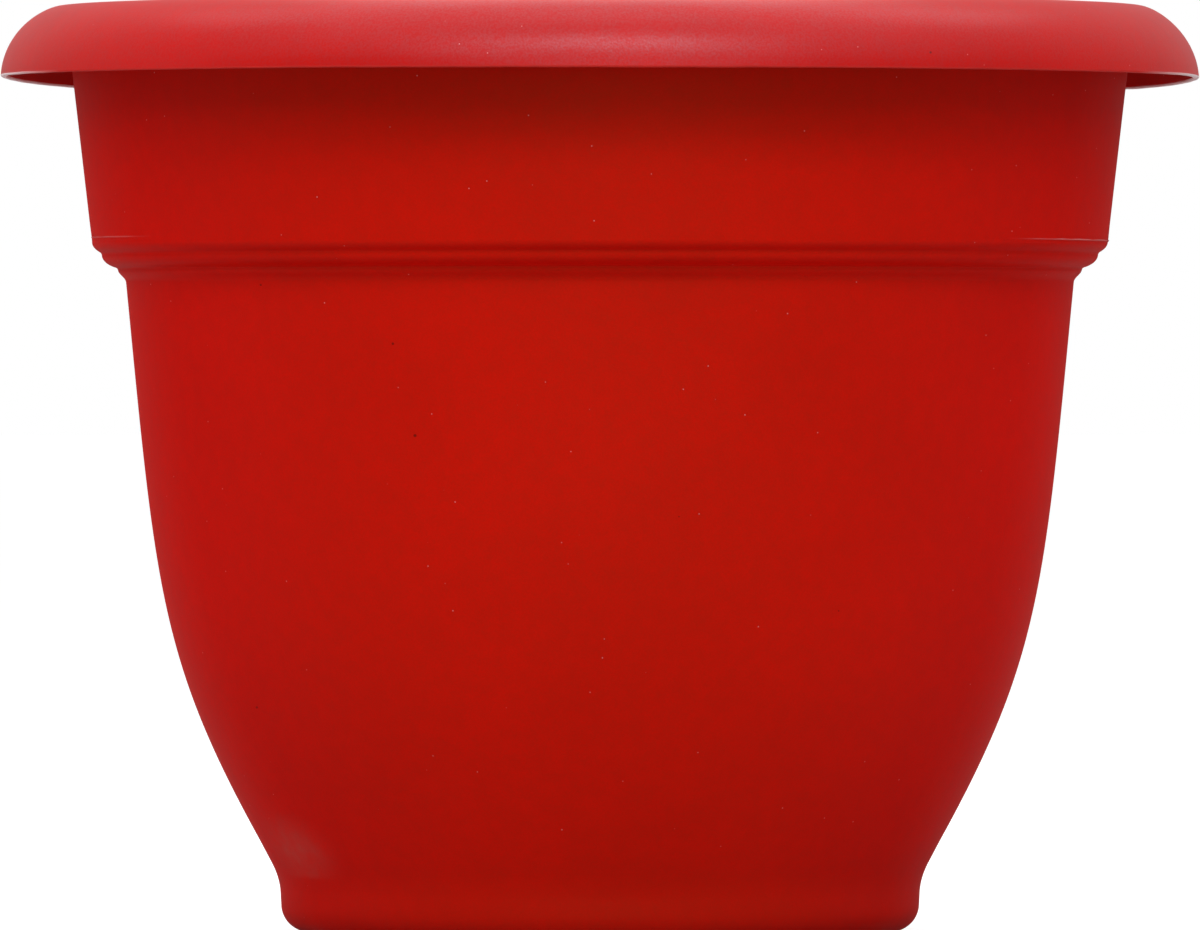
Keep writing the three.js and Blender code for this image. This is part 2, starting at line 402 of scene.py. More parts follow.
def rolled_rim():
    """The hollow under the rim, the lip, the domed top and the curl down into the pot."""
    hollow_top = (CROWN[0], CROWN[1] - WALL)
    hollow_edge = (LIP[0] - LIP_THICKNESS, LIP[1])
    curl_foot = (band_radius(CURL_FOOT_HEIGHT) - WALL, CURL_FOOT_HEIGHT)
    fillet = curve([
        BAND_TOP, (BAND_TOP[0] + FILLET_LEAN, hollow_top[1]), hollow_top,
    ], FILLET_STEPS)
    hollow = curve([
        hollow_top,
        moved(hollow_top, HOLLOW_FROM_TOP),
        moved(hollow_edge, HOLLOW_FROM_LIP),
        hollow_edge,
    ], HOLLOW_STEPS)
    dome = curve([
        LIP, moved(LIP, DOME_FROM_LIP), moved(CROWN, DOME_FROM_CROWN), CROWN,
    ], DOME_STEPS)
    curl = curve([
        CROWN, moved(CROWN, CURL_FROM_CROWN), moved(curl_foot, CURL_FROM_FOOT), curl_foot,
    ], CURL_STEPS)
    # The lip's rounding takes the place of the dome's first points.
    lip_inner = rounded(hollow[-2], hollow_edge, LIP, LIP_ROUNDING, LIP_INNER_STEPS)
    lip_outer = rounded(hollow_edge, LIP, dome[2], LIP_ROUNDING, LIP_OUTER_STEPS)
    return fillet + hollow[:-1] + lip_inner + lip_outer + dome[2:] + curl


def inner_waist():
    """The inside of the waist, from above it to the foot."""
    points = []
    for outside, rise in zip((WAIST_HIGH, WAIST_CORNER, WAIST_LOW), INNER_WAIST_RISES):
        points.append(moved(outside, (-WALL, rise)))
    return [points[0]] + curve(points, INNER_WAIST_STEPS)


def inner_wall():
    """The inside of the band, beads, bell and foot, from the rim down."""
    ring_outer = FOOT_RADIUS - FOOT_ROUNDING
    foot_centre = (ring_outer, FOOT_ROUNDING)
    band = (band_radius(INNER_BAND_HEIGHT) - WALL, INNER_BAND_HEIGHT)
    bell = inside_of(bell_line(), WALL)
    points = [band]
    points += rounded(
        band, INNER_SHOULDER, INNER_NECK, INNER_SHOULDER_ROUNDING, INNER_SHOULDER_STEPS,
    )
    points += rounded(INNER_SHOULDER, INNER_NECK, bell[0], INNER_NECK_ROUNDING, INNER_NECK_STEPS)
    points += bell + inner_waist()
    points += [(FOOT_RADIUS - WALL, FOOT_ROUNDING)]
    return points + arc(foot_centre, FOOT_ROUNDING - WALL, 0, -90, INNER_FOOT_STEPS)


def shell_outline():
    """The whole shell, from the middle of its underside out, over the rim and back inside."""
    middle_low = (0.0, RECESS_DEPTH)
    middle_high = (0.0, FLOOR_TOP)
    recess = (RECESS_RADIUS, RECESS_DEPTH)
    ring = (RING_INNER_RADIUS, 0.0)
    trough = (RING_INNER_RADIUS + FLOOR_SLOPE, WALL)
    step = (RECESS_RADIUS + FLOOR_SLOPE, FLOOR_TOP)
    outer = outer_wall()
    inner = inner_wall()
    points = [middle_low]
    points += rounded(middle_low, recess, ring, RECESS_ROUNDING)
    points += rounded(recess, ring, outer[0], RING_ROUNDING)
    points += outer + rolled_rim() + inner
    points += rounded(inner[-1], trough, step, FLOOR_ROUNDING)
    points += rounded(trough, step, middle_high, FLOOR_ROUNDING)
    return points + [middle_high]


def rectangle(inner, outer, low, high):
    """The outline of a plain ring."""
    return [(inner, low), (outer, low), (outer, high), (inner, high)]


def cone(low_radius, high_radius, low, high):
    """The outline of a solid, straight or tapered, that stands on the axis."""
    return [(0.0, low), (low_radius, low), (high_radius, high), (0.0, high)]


# ---------------------------------------------------------------- meshes

def turn(step, count):
    """The angle of one of a ring of equally spaced features."""
    return 2 * math.pi * step / count


def on_circle(radius, angle):
    """A point on a circle around the origin."""
    return (radius * math.cos(angle), radius * math.sin(angle))


def new_piece(name, vertices, faces):
    """An object made from corners given in millimetres."""
    mesh = bpy.data.meshes.new(name)
    mesh.from_pydata([Vector(v) * MM for v in vertices], [], faces)
    piece = bpy.data.objects.new(name, mesh)
    bpy.context.scene.collection.objects.link(piece)
    return piece


def revolve(name, outline, segments, centre=(0.0, 0.0)):
    """A closed body turned about an upright axis from an outline that starts and ends on it."""
    vertices = []
    rows = []
    for radius, height in outline:
        first = len(vertices)
        if radius == 0:
            vertices.append((centre[0], centre[1], height))
            rows.append([first] * segments)
            continue
        for i in range(segments):
            x, y = on_circle(radius, turn(i, segments))
            vertices.append((centre[0] + x, centre[1] + y, height))
        rows.append(list(range(first, first + segments)))
    faces = []
    for low, high in zip(rows, rows[1:]):
        for i in range(segments):
            j = (i + 1) % segments
            corners = [low[i], low[j], high[j], high[i]]
            faces.append(list(dict.fromkeys(corners)))
    return new_piece(name, vertices, faces)


def ring_body(name, outline, segments):
    """A ring turned about the planter's axis from an outline that closes on itself."""
    vertices = []
    for radius, height in outline:
        for i in range(segments):
            vertices.append((*on_circle(radius, turn(i, segments)), height))
    faces = []
    count = len(outline)
    for k in range(count):
        low = k * segments
        high = ((k + 1) % count) * segments
        for i in range(segments):
            j = (i + 1) % segments
            faces.append([low + i, low + j, high + j, high + i])
    return new_piece(name, vertices, faces)


def prism(name, plan, low, high):
    """An upright solid from a plan given as (x, y) points, counterclockwise."""
    count = len(plan)
    vertices = [(x, y, low) for x, y in plan] + [(x, y, high) for x, y in plan]
    faces = [list(range(count))[::-1], list(range(count, 2 * count))]
    for i in range(count):
        j = (i + 1) % count
        faces.append([i, j, count + j, count + i])
    return new_piece(name, vertices, faces)


def bar_plan(angle, inner, outer, width, centre=(0.0, 0.0)):
    """The plan of a bar with half-round ends, along a radius from a centre."""
    half = width / 2
    points = [(outer - half, -half)] + arc((outer - half, 0.0), half, -90, 90, BAR_END_STEPS)
    points += [(inner + half, half)] + arc((inner + half, 0.0), half, 90, 270, BAR_END_STEPS)
    c = math.cos(angle)
    s = math.sin(angle)
    return [(x * c - y * s + centre[0], x * s + y * c + centre[1]) for x, y in points]


def join(pieces):
    """One piece made of several."""
    if len(pieces) == 1:
        return pieces[0]
    with bpy.context.temp_override(active_object=pieces[0], selected_editable_objects=pieces):
        bpy.ops.object.join()
    return pieces[0]


def apply_modifiers(piece):
    """Makes the result of a piece's modifiers its mesh."""
    graph = bpy.context.evaluated_depsgraph_get()
    mesh = bpy.data.meshes.new_from_object(piece.evaluated_get(graph))
    old = piece.data
    piece.modifiers.clear()
    piece.data = mesh
    bpy.data.meshes.remove(old)
    mesh.name = piece.name


def combine(piece, tools, operation):
    """Cuts or joins a piece with tool bodies that stand clear of each other, and uses them up."""
    tool = join(tools)
    modifier = piece.modifiers.new("combine", "BOOLEAN")
    modifier.operation = operation
    modifier.solver = "EXACT"
    modifier.object = tool
    apply_modifiers(piece)
    bpy.data.objects.remove(tool)


def clean(piece):
    """Merges corners that all but touch, and drops faces with no area."""
    mesh = bmesh.new()
    mesh.from_mesh(piece.data)
    near = MERGE_DISTANCE * MM
    bmesh.ops.remove_doubles(mesh, verts=mesh.verts, dist=near)
    bmesh.ops.triangulate(mesh, faces=[face for face in mesh.faces if len(face.verts) > 4])
    bmesh.ops.dissolve_degenerate(mesh, edges=mesh.edges, dist=near)
    mesh.to_mesh(piece.data)
    mesh.free()


def soften(piece, width):
    """Rounds a moulded piece's sharp edges."""
    modifier = piece.modifiers.new("soften", "BEVEL")
    modifier.width = width * MM
    modifier.segments = 2
    modifier.limit_method = "ANGLE"
    modifier.angle_limit = math.radians(SOFTENED_ANGLE)
    modifier.use_clamp_overlap = True
    apply_modifiers(piece)


def shade(piece, angle):
    """Shades a piece smooth, except where its faces meet at more than an angle in degrees."""
    piece.data.shade_smooth()
    piece.data.set_sharp_from_angle(angle=math.radians(angle))


# ---------------------------------------------------------------- node materials

def add_node(tree, kind, settings=None, inputs=None):
    """A new node with its settings, and its inputs given as values or as sockets to link from."""
    made = tree.nodes.new(kind)
    for key, value in (settings or {}).items():
        setattr(made, key, value)
    for key, value in (inputs or {}).items():
        if isinstance(value, bpy.types.NodeSocket):
            tree.links.new(value, made.inputs[key])
        else:
            made.inputs[key].default_value = value
    return made


def math_node(tree, operation, a, b):
    return add_node(tree, "ShaderNodeMath", {"operation": operation}, {0: a, 1: b}).outputs[0]


def times(tree, a, b):
    return math_node(tree, "MULTIPLY", a, b)


def vector_math(tree, operation, a, b=(0, 0, 0)):
    inputs = {0: a, 1: b}
    return add_node(tree, "ShaderNodeVectorMath", {"operation": operation}, inputs).outputs


def axes(tree, vector):
    """A vector's parts, named X, Y and Z."""
    return add_node(tree, "ShaderNodeSeparateXYZ", None, {0: vector}).outputs


def ramp(tree, value, low, high, out_low=0.0, out_high=1.0):
    """A value carried smoothly from one range to another, and held at the range's ends."""
    inputs = {0: value, 1: low, 2: high, 3: out_low, 4: out_high}
    settings = {"interpolation_type": "SMOOTHSTEP"}
    return add_node(tree, "ShaderNodeMapRange", settings, inputs).outputs[0]


def grain(tree, place, size, detail, stretch=(1, 1, 1)):
    """Noise from 0 to 1 whose features are about a given size, in millimetres."""
    if stretch != (1, 1, 1):
        place = vector_math(tree, "MULTIPLY", place, stretch)[0]
    inputs = {"Vector": place, "Scale": 1 / (size * MM), "Detail": detail}
    return add_node(tree, "ShaderNodeTexNoise", None, inputs).outputs[0]


def mixed(tree, share, a, b):
    """Color a where the share is 0, and color b where it is 1."""
    return add_node(tree, "ShaderNodeMix", {"data_type": "RGBA"}, {0: share, 6: a, 7: b}).outputs[2]


def bumped(tree, height, distance, normal=None):
    """A normal tilted by a height, with its depth in millimetres, over another normal if given."""
    inputs = {"Height": height, "Distance": distance * MM, "Strength": 1.0}
    if normal is not None:
        inputs["Normal"] = normal
    return add_node(tree, "ShaderNodeBump", None, inputs).outputs["Normal"]


def distance_to(tree, place, point, squeeze=(1, 1, 1)):
    """The distance in metres from a point given in millimetres, with each axis scaled."""
    offset = vector_math(tree, "SUBTRACT", place, Vector(point) * MM)[0]
    scaled = vector_math(tree, "MULTIPLY", offset, squeeze)[0]
    return vector_math(tree, "LENGTH", scaled)["Value"]


def new_material(name):
    """A material with its tree, its main shader and the place on the object, in metres."""
    material = bpy.data.materials.new(name)
    material.use_nodes = True
    tree = material.node_tree
    shader = tree.nodes["Principled BSDF"]
    place = add_node(tree, "ShaderNodeTexCoord").outputs["Object"]
    return material, tree, shader, place


BLACK = (0, 0, 0, 1)
WHITE = (1, 1, 1, 1)
RED = (0.68, 0.006, 0.0025, 1)
DEEP_RED = (0.64, 0.006, 0.0025, 1)
# Pale red: dust motes, and the painted highlights on the lip and parting line
PALE_RED = (0.95, 0.78, 0.79, 1)
# Pale red of the painted sheen low on the bell's left
SHEEN_PATCH_RED = (0.50, 0.12, 0.10, 1)
DUST = (0.17, 0.004, 0.003, 1)
# Dark red of the painted shade on the foot
FOOT_SHADE_COLOR = (0.03, 0.008, 0.004, 1)
WARM_SHEEN = (1, 1, 0.35, 1)
COOL_SHEEN = (0.93, 0.87, 1.0, 1)
GREY = (0.030, 0.032, 0.034, 1)
PALE_GREY = (0.050, 0.052, 0.054, 1)
RUBBER_BLACK = (0.012, 0.012, 0.012, 1)
BLOOM_GREY = (0.035, 0.034, 0.033, 1)

# Noise is spread from 0 to 1, but most of it lies within these spans. A narrower one gives more
# contrast.
NOISE_SPAN = (0.3, 0.7)
FINE_SPAN = (0.25, 0.75)
WIDE_SPAN = (0.2, 0.8)
BLOOM_SPAN = (0.4, 0.8)

# Red plastic: the size of each kind of unevenness and its depth, in millimetres, and how much
# it darkens the color
CLOUD_SIZE = 70
MOTTLE_SIZE = 6
MOTTLE_DARKENING = 0.05
MOTTLE_DEPTH = 0.05
GRAIN_SIZE = 0.7
GRAIN_DARKENING = 0.10
GRAIN_DEPTH = 0.03

# The rim is smoother and glossier than the wall below it, most of all on its top.
WALL_ROUGHNESS = 0.50
WALL_GLOSS = 0.08
WALL_GRAZING_SHARE = 0.2
RIM_ROUGHNESS = 0.36
RIM_GLOSS = 0.60
RIM_SIDE_SHARE = 0.40
DIFFUSE_ROUGHNESS = 0.8

# Where the rim's own finish fades in: by millimetres out from the crown, by millimetres up from
# it, and by how far the surface faces up
RIM_OUTER_SPAN = (3, 6)
RIM_UPPER_SPAN = (-8, -4)
RIM_FACING_SPAN = (-0.1, 0.05)
RIM_TOP_SPAN = (0, 0.9)

# Gloss: where it fades at a shallow angle, and how much the mottling and grain vary it
GRAZING_SPAN = (0.1, 0.6)
MOTTLE_GLOSS = (0.92, 1.08)
GRAIN_GLOSS = (0.7, 1.3)

# Specks of dust on the front wall: x, height and radius, in millimetres
SPECKS = (
    (-68.3, 199.0, 0.45),
    (-61.0, 168.7, 0.55),
    (-114.7, 77.5, 0.40),
    (-112.5, 218.5, 0.35),
    (108.5, 294.5, 0.40),
    (26.0, 142.0, 0.25),
    (79.0, 110.5, 0.25),
)
SPECK_STRENGTH = 0.9
SPECK_CORE = 0.5
SPECK_EDGE = 1.3

# Pale motes of dust all over: millimetres between them, how strong they are, and where they
# fade, as shares of the spacing
MOTE_SPACING = 8.0
MOTE_STRENGTH = 0.30
MOTE_SPAN = (0.01, 0.04)

# The foot is darkened by painted shade, most of all at the ground, up to a height in millimetres.
FOOT_SHADE = 0.17
FOOT_SHADE_LOW = 6
FOOT_SHADE_HIGH = 34

# The painted sheen low on the bell's left, in millimetres
SHEEN_PATCH_CENTRE = (-100, -50, 29)
SHEEN_PATCH_SQUEEZE = (1, 1, 1.8)
SHEEN_PATCH_REACH = 30
SHEEN_PATCH_FOOT = 19.5
SHEEN_PATCH_STRENGTH = 0.36
SHEEN_PATCH_MOTTLE = (0.4, 1.0)

# Grey plastic: sizes and depth in millimetres, and the range of its roughness
SWIRL_SIZE = 25
SWIRL_STRETCH = (1, 1, 0.4)
GREY_GRAIN_SIZE = 0.8
GREY_GRAIN_DEPTH = 0.04
GREY_ROUGHNESS = (0.50, 0.62)

# Rubber: sizes and depth in millimetres, and the range of its roughness
BLOOM_SIZE = 4
PEBBLE_SIZE = 0.5
PEBBLE_DEPTH = 0.05
RUBBER_ROUGHNESS = (0.62, 0.80)


def mottled_red(tree, place, mottle, fine):
    """Red that varies a little over the whole pot, and is darker in its blotches and pits."""
    cloud = grain(tree, place, CLOUD_SIZE, detail=3)
    color = mixed(tree, ramp(tree, cloud, *NOISE_SPAN), RED, DEEP_RED)
    blotches = ramp(tree, mottle, *NOISE_SPAN, 0, MOTTLE_DARKENING)
    pits = ramp(tree, fine, *FINE_SPAN, 0, GRAIN_DARKENING)
    return mixed(tree, math_node(tree, "ADD", blotches, pits), color, BLACK)


def painted_foot_shade(tree, place, color):
    """Painted shade on the foot, darkest at the ground."""
    height = axes(tree, place)["Z"]
    shade_share = ramp(tree, height, FOOT_SHADE_LOW * MM, FOOT_SHADE_HIGH * MM, FOOT_SHADE, 0)
    return mixed(tree, shade_share, color, FOOT_SHADE_COLOR)


def painted_edge_highlight(tree, color):
    """Painted highlight: a pale color on the lip's edge and on the parting line."""
    settings = {"attribute_type": "GEOMETRY", "attribute_name": "painted_highlight"}
    painted_highlight = add_node(tree, "ShaderNodeAttribute", settings).outputs["Fac"]
    return mixed(tree, painted_highlight, color, PALE_RED)


def painted_sheen_patch(tree, place, mottle, color):
    """A painted sheen: a soft haze low on the left."""
    away = distance_to(tree, place, SHEEN_PATCH_CENTRE, SHEEN_PATCH_SQUEEZE)
    reach = ramp(tree, away, 0, SHEEN_PATCH_REACH * MM, SHEEN_PATCH_STRENGTH, 0)
    height = axes(tree, place)["Z"]
    above = ramp(tree, height, (SHEEN_PATCH_FOOT - 1) * MM, (SHEEN_PATCH_FOOT + 1) * MM)
    patchy = times(tree, reach, ramp(tree, mottle, *WIDE_SPAN, *SHEEN_PATCH_MOTTLE))
    return mixed(tree, times(tree, patchy, above), color, SHEEN_PATCH_RED)


def dusted(tree, place, color):
    """Pale motes all over, and a few dark specks on the front."""
    cells = {"Vector": place, "Scale": 1 / (MOTE_SPACING * MM)}
    away = add_node(tree, "ShaderNodeTexVoronoi", None, cells).outputs["Distance"]
    color = mixed(tree, ramp(tree, away, *MOTE_SPAN, MOTE_STRENGTH, 0), color, PALE_RED)
    front = math_node(tree, "LESS_THAN", axes(tree, place)["Y"], 0.0)
    for x, height, radius in SPECKS:
        away = distance_to(tree, place, (x, 0, height), (1, 0, 1))
        core = radius * SPECK_CORE * MM
        edge = radius * SPECK_EDGE * MM
        spot = ramp(tree, away, core, edge, SPECK_STRENGTH, 0)
        color = mixed(tree, times(tree, spot, front), color, DUST)
    return color


def rim_mask(tree, place, upward):
    """1 on the rim's top and outside, and 0 on the wall and on everything that faces down."""
    out_low, out_high = ((CROWN[0] + step) * MM for step in RIM_OUTER_SPAN)
    up_low, up_high = ((CROWN[1] + step) * MM for step in RIM_UPPER_SPAN)
    across = distance_to(tree, place, (0, 0, 0), (1, 1, 0))
    outer = ramp(tree, across, out_low, out_high)
    upper = ramp(tree, axes(tree, place)["Z"], up_low, up_high)
    rim = math_node(tree, "MAXIMUM", outer, upper)
    return times(tree, rim, ramp(tree, upward, *RIM_FACING_SPAN))


def red_gloss(tree, rim, upward, mottle, fine):
    """How much the plastic mirrors. Its grain scatters most of that at a shallow angle."""
    top = times(tree, rim, ramp(tree, upward, *RIM_TOP_SPAN, RIM_SIDE_SHARE, 1))
    gloss = ramp(tree, top, 0, 1, WALL_GLOSS, RIM_GLOSS)
    facing = add_node(tree, "ShaderNodeLayerWeight", None, {"Blend": 0.5}).outputs["Facing"]
    least = ramp(tree, rim, 0, 1, WALL_GRAZING_SHARE, 1.0)
    gloss = times(tree, gloss, ramp(tree, facing, *GRAZING_SPAN, 1, least))
    gloss = times(tree, gloss, ramp(tree, mottle, *NOISE_SPAN, *MOTTLE_GLOSS))
    return times(tree, gloss, ramp(tree, fine, *NOISE_SPAN, *GRAIN_GLOSS))


def moulded_red():
    """Matt moulded plastic, grained, mottled and dusty, with painted shade, sheen and highlights.
    """
    material, tree, shader, place = new_material("moulded_red")
    mottle = grain(tree, place, MOTTLE_SIZE, detail=4)
    fine = grain(tree, place, GRAIN_SIZE, detail=2)
    color = mottled_red(tree, place, mottle, fine)
    # Painted shade darkens the foot towards the ground.
    color = painted_foot_shade(tree, place, color)
    # Painted highlight on the lip's edge and on the parting line.
    color = painted_edge_highlight(tree, color)
    # Painted sheen: a soft pale haze low on the bell's left.
    color = painted_sheen_patch(tree, place, mottle, color)
    color = dusted(tree, place, color)

    surface = add_node(tree, "ShaderNodeNewGeometry").outputs["Normal"]
    upward = axes(tree, surface)["Z"]
    rim = rim_mask(tree, place, upward)
    roughness = ramp(tree, rim, 0, 1, WALL_ROUGHNESS, RIM_ROUGHNESS)
    gloss = red_gloss(tree, rim, upward, mottle, fine)
    sheen = mixed(tree, rim, WARM_SHEEN, COOL_SHEEN)
    normal = bumped(tree, fine, GRAIN_DEPTH, bumped(tree, mottle, MOTTLE_DEPTH))

    shader.inputs["Diffuse Roughness"].default_value = DIFFUSE_ROUGHNESS
    tree.links.new(color, shader.inputs["Base Color"])
    tree.links.new(roughness, shader.inputs["Roughness"])
    tree.links.new(gloss, shader.inputs["Specular IOR Level"])
    tree.links.new(sheen, shader.inputs["Specular Tint"])
    tree.links.new(normal, shader.inputs["Normal"])
    return material


def moulded_grey():
    """Dark recycled plastic, with flow marks and a fine grain."""
    material, tree, shader, place = new_material("moulded_grey")
    swirl = grain(tree, place, SWIRL_SIZE, detail=4, stretch=SWIRL_STRETCH)
    fine = grain(tree, place, GREY_GRAIN_SIZE, detail=3)
    color = mixed(tree, ramp(tree, swirl, *NOISE_SPAN), GREY, PALE_GREY)
    roughness = ramp(tree, swirl, *WIDE_SPAN, *GREY_ROUGHNESS)
    normal = bumped(tree, fine, GREY_GRAIN_DEPTH)
    tree.links.new(color, shader.inputs["Base Color"])
    tree.links.new(roughness, shader.inputs["Roughness"])
    tree.links.new(normal, shader.inputs["Normal"])
    return material


def plug_rubber():
    """Black rubber with a dusty bloom and a fine pebble."""
    material, tree, shader, place = new_material("plug_rubber")
    bloom = grain(tree, place, BLOOM_SIZE, detail=4)
    pebble = grain(tree, place, PEBBLE_SIZE, detail=2)
    color = mixed(tree, ramp(tree, bloom, *BLOOM_SPAN), RUBBER_BLACK, BLOOM_GREY)
    roughness = ramp(tree, bloom, *NOISE_SPAN, *RUBBER_ROUGHNESS)
    normal = bumped(tree, pebble, PEBBLE_DEPTH)
    tree.links.new(color, shader.inputs["Base Color"])
    tree.links.new(roughness, shader.inputs["Roughness"])
    tree.links.new(normal, shader.inputs["Normal"])
    return material


# ---------------------------------------------------------------- pieces

def finish_piece(piece, material, body, node):
    """Gives a piece its material, ties it to its body, and hides the CAD node it stands for."""
    piece.data.materials.clear()
    piece.data.materials.append(material)
    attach(piece, body)
    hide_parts(node)


def lip_droop(rightward, forward):
    """How far the lip droops, by how far round to the right and the front a place is."""
    droop = RIM_DROOP + LIP_TILT * rightward
    droop += FRONT_DROOP * smoothstep(*FRONT_DROOP_SPAN, forward)
    droop += BACK_DROOP * smoothstep(*BACK_DROOP_SPAN, forward)
    if rightward > 0:
        fade = smoothstep(*RIGHT_DROOP_FADE, forward)
        droop += RIGHT_DROOP * smoothstep(*RIGHT_DROOP_SPAN, forward) * fade
    return droop


def warp_rim(shell):
    """Lets the lip droop and wave a little, and marks its edge for a painted highlight."""
    painted_highlight = shell.data.attributes.new("painted_highlight", "FLOAT", "POINT")
    for vertex in shell.data.vertices:
        x, y, z = vertex.co / MM
        radius = math.hypot(x, y)
        share = smoothstep(CROWN[0] + MARGIN, LIP[0] - MARGIN, radius)
        if share == 0 or z < LIP[1] - MARGIN:
            continue
        forward = -y / radius
        droop = share * lip_droop(x / radius, forward)
        low = smoothstep(LIP[1] + LIP_WAVE_HEIGHT, LIP[1], z)
        wave = LIP_WAVE * low * noise.noise(Vector((x, y, 0)) / LIP_WAVE_LENGTH)
        vertex.co.z -= (droop - wave) * MM
        # The lip's lowest edge is marked for a painted highlight.
        if z < LIP[1] + LIP_HIGHLIGHT_DEPTH:
            painted_highlight.data[vertex.index].value = max(smoothstep(*LIP_HIGHLIGHT_SPAN, forward), FRONT_HIGHLIGHT)


def parting_shows(rightward):
    """How much the parting line shows, from 0 at the front and back to 1 at the right."""
    if rightward > 0:
        return smoothstep(*RIGHT_PARTING_SPAN, rightward)
    return LEFT_PARTING_SHARE * smoothstep(*LEFT_PARTING_SPAN, -rightward)


def raise_parting_line(shell):
    """Raises the mould's parting line, which is proudest at the two sides and not quite level, and
    marks it for a painted highlight.
    """
    painted_highlight = shell.data.attributes["painted_highlight"]
    for vertex in shell.data.vertices:
        x, y, z = vertex.co / MM
        radius = math.hypot(x, y)
        away = abs(z - PARTING_HEIGHT)
        if away > PARTING_HALF_WIDTH + PARTING_TOLERANCE or radius < band_radius(z) - MARGIN:
            continue
        side = parting_shows(x / radius)
        ripple = noise.noise(Vector((x, y, 0)) / PARTING_WAVE_LENGTH)
        if away < 2 * PARTING_TOLERANCE:
            grow = 1 + side * PARTING_PROUD * (1 + ripple) / radius
            vertex.co.x *= grow
            vertex.co.y *= grow
            # The parting line is marked for a painted highlight, a pale glint.
            painted_highlight.data[vertex.index].value = side * PARTING_HIGHLIGHT * (1 + ripple)
        vertex.co.z += (side * PARTING_WAVE * ripple - PARTING_TILT * x / BAND_FOOT[0]) * MM


def add_base_ribs(shell):
    """Radial ribs under the floor, from the hub ring out to the foot ring."""
    inner = HUB_RADIUS + HUB_ROOT
    outer = RECESS_RADIUS + RECESS_ROOT
    ribs = []
    for i in range(RIB_COUNT):
        plan = bar_plan(turn(i + 0.5, RIB_COUNT), inner, outer, RIB_WIDTH)
        ribs.append(prism("rib", plan, RECESS_DEPTH - RIB_DEPTH, RECESS_DEPTH + FLOOR_ROOT))
    combine(shell, ribs, "UNION")


def add_hub_and_gate(shell):
    """The ring where the ribs meet, and the round mark where the mould was filled."""
    rooted = RECESS_DEPTH + FLOOR_ROOT
    gate_low = RECESS_DEPTH - GATE_DEPTH
    hub = rectangle(HUB_RADIUS, HUB_RADIUS + RIB_WIDTH, RECESS_DEPTH - RIB_DEPTH, rooted)
    gate = [
        (0.0, gate_low + GATE_EDGE),
        (DIMPLE_FLOOR_RADIUS, gate_low + GATE_EDGE),
        (DIMPLE_RADIUS, gate_low),
        (GATE_RADIUS - GATE_EDGE, gate_low),
        (GATE_RADIUS, gate_low + GATE_EDGE),
        (GATE_RADIUS, rooted),
        (0.0, rooted),
    ]
    combine(shell, [
        ring_body("hub", hub, 2 * SMALL_SEGMENTS), revolve("gate", gate, SMALL_SEGMENTS),
    ], "UNION")


def drain_angle(index):
    return turn(index + 0.5, DRAIN_COUNT)


def drain_centre(index):
    return on_circle(DRAIN_CIRCLE, drain_angle(index))


def cut_drains(shell):
    """Drain holes through the floor, chamfered at both ends."""
    flare = DRAIN_RADIUS + DRAIN_CHAMFER + CUT_PAST
    hole = [
        (0.0, RECESS_DEPTH - CUT_PAST),
        (flare, RECESS_DEPTH - CUT_PAST),
        (DRAIN_RADIUS, RECESS_DEPTH + DRAIN_CHAMFER),
        (DRAIN_RADIUS, FLOOR_TOP - DRAIN_CHAMFER),
        (flare, FLOOR_TOP + CUT_PAST),
        (0.0, FLOOR_TOP + CUT_PAST),
    ]
    holes = []
    for i in range(DRAIN_COUNT):
        holes.append(revolve("hole", hole, SMALL_SEGMENTS, drain_centre(i)))
    combine(shell, holes, "DIFFERENCE")


def make_shell():
    """The whole moulding: rim, band, beads, bell, waist, foot and ribbed base."""
    shell = revolve("planter_shell", shell_outline(), SHELL_SEGMENTS)
    add_base_ribs(shell)
    add_hub_and_gate(shell)
    cut_drains(shell)
    clean(shell)
    warp_rim(shell)
    raise_parting_line(shell)
    shade(shell, SHELL_SHARP_ANGLE)
    return shell


def grid_outline():
    """The disc, with a skirt turned down around it."""
    reach = GRID_HIGH.x
    skirt_low = GRID_TOP - SKIRT_DEPTH
    skirt_foot = (reach - SKIRT_TAPER, skirt_low)
    skirt_inner = (skirt_foot[0] - CUP_WALL, skirt_low)
    corner = (skirt_inner[0] + SKIRT_INNER_TAPER, GRID_UNDER)
    edge_low = (reach, GRID_TOP - GRID_EDGE)
    edge_high = (reach - GRID_EDGE, GRID_TOP)
    middle_low = (0.0, GRID_UNDER)
    middle_high = (0.0, GRID_TOP)
    points = [middle_low]
    points += rounded(middle_low, corner, skirt_inner, SKIRT_ROUNDING)
    points += [skirt_inner, skirt_foot]
    points += rounded(skirt_foot, edge_low, edge_high, GRID_EDGE_ROUNDING)
    points += rounded(edge_low, edge_high, middle_high, GRID_EDGE_ROUNDING)
    return points + [middle_high]


def add_ring_ribs(grid):
    """Ring-shaped stiffening ribs under the disc."""
    half = RING_RIB_WIDTH / 2
    low = GRID_UNDER - RING_RIB_DEPTH
    ribs = []
    for radius in RING_RIBS:
        outline = rectangle(radius - half, radius + half, low, GRID_UNDER + GRID_ROOT)
        ribs.append(ring_body("rib", outline, GRID_SEGMENTS))
    combine(grid, ribs, "UNION")


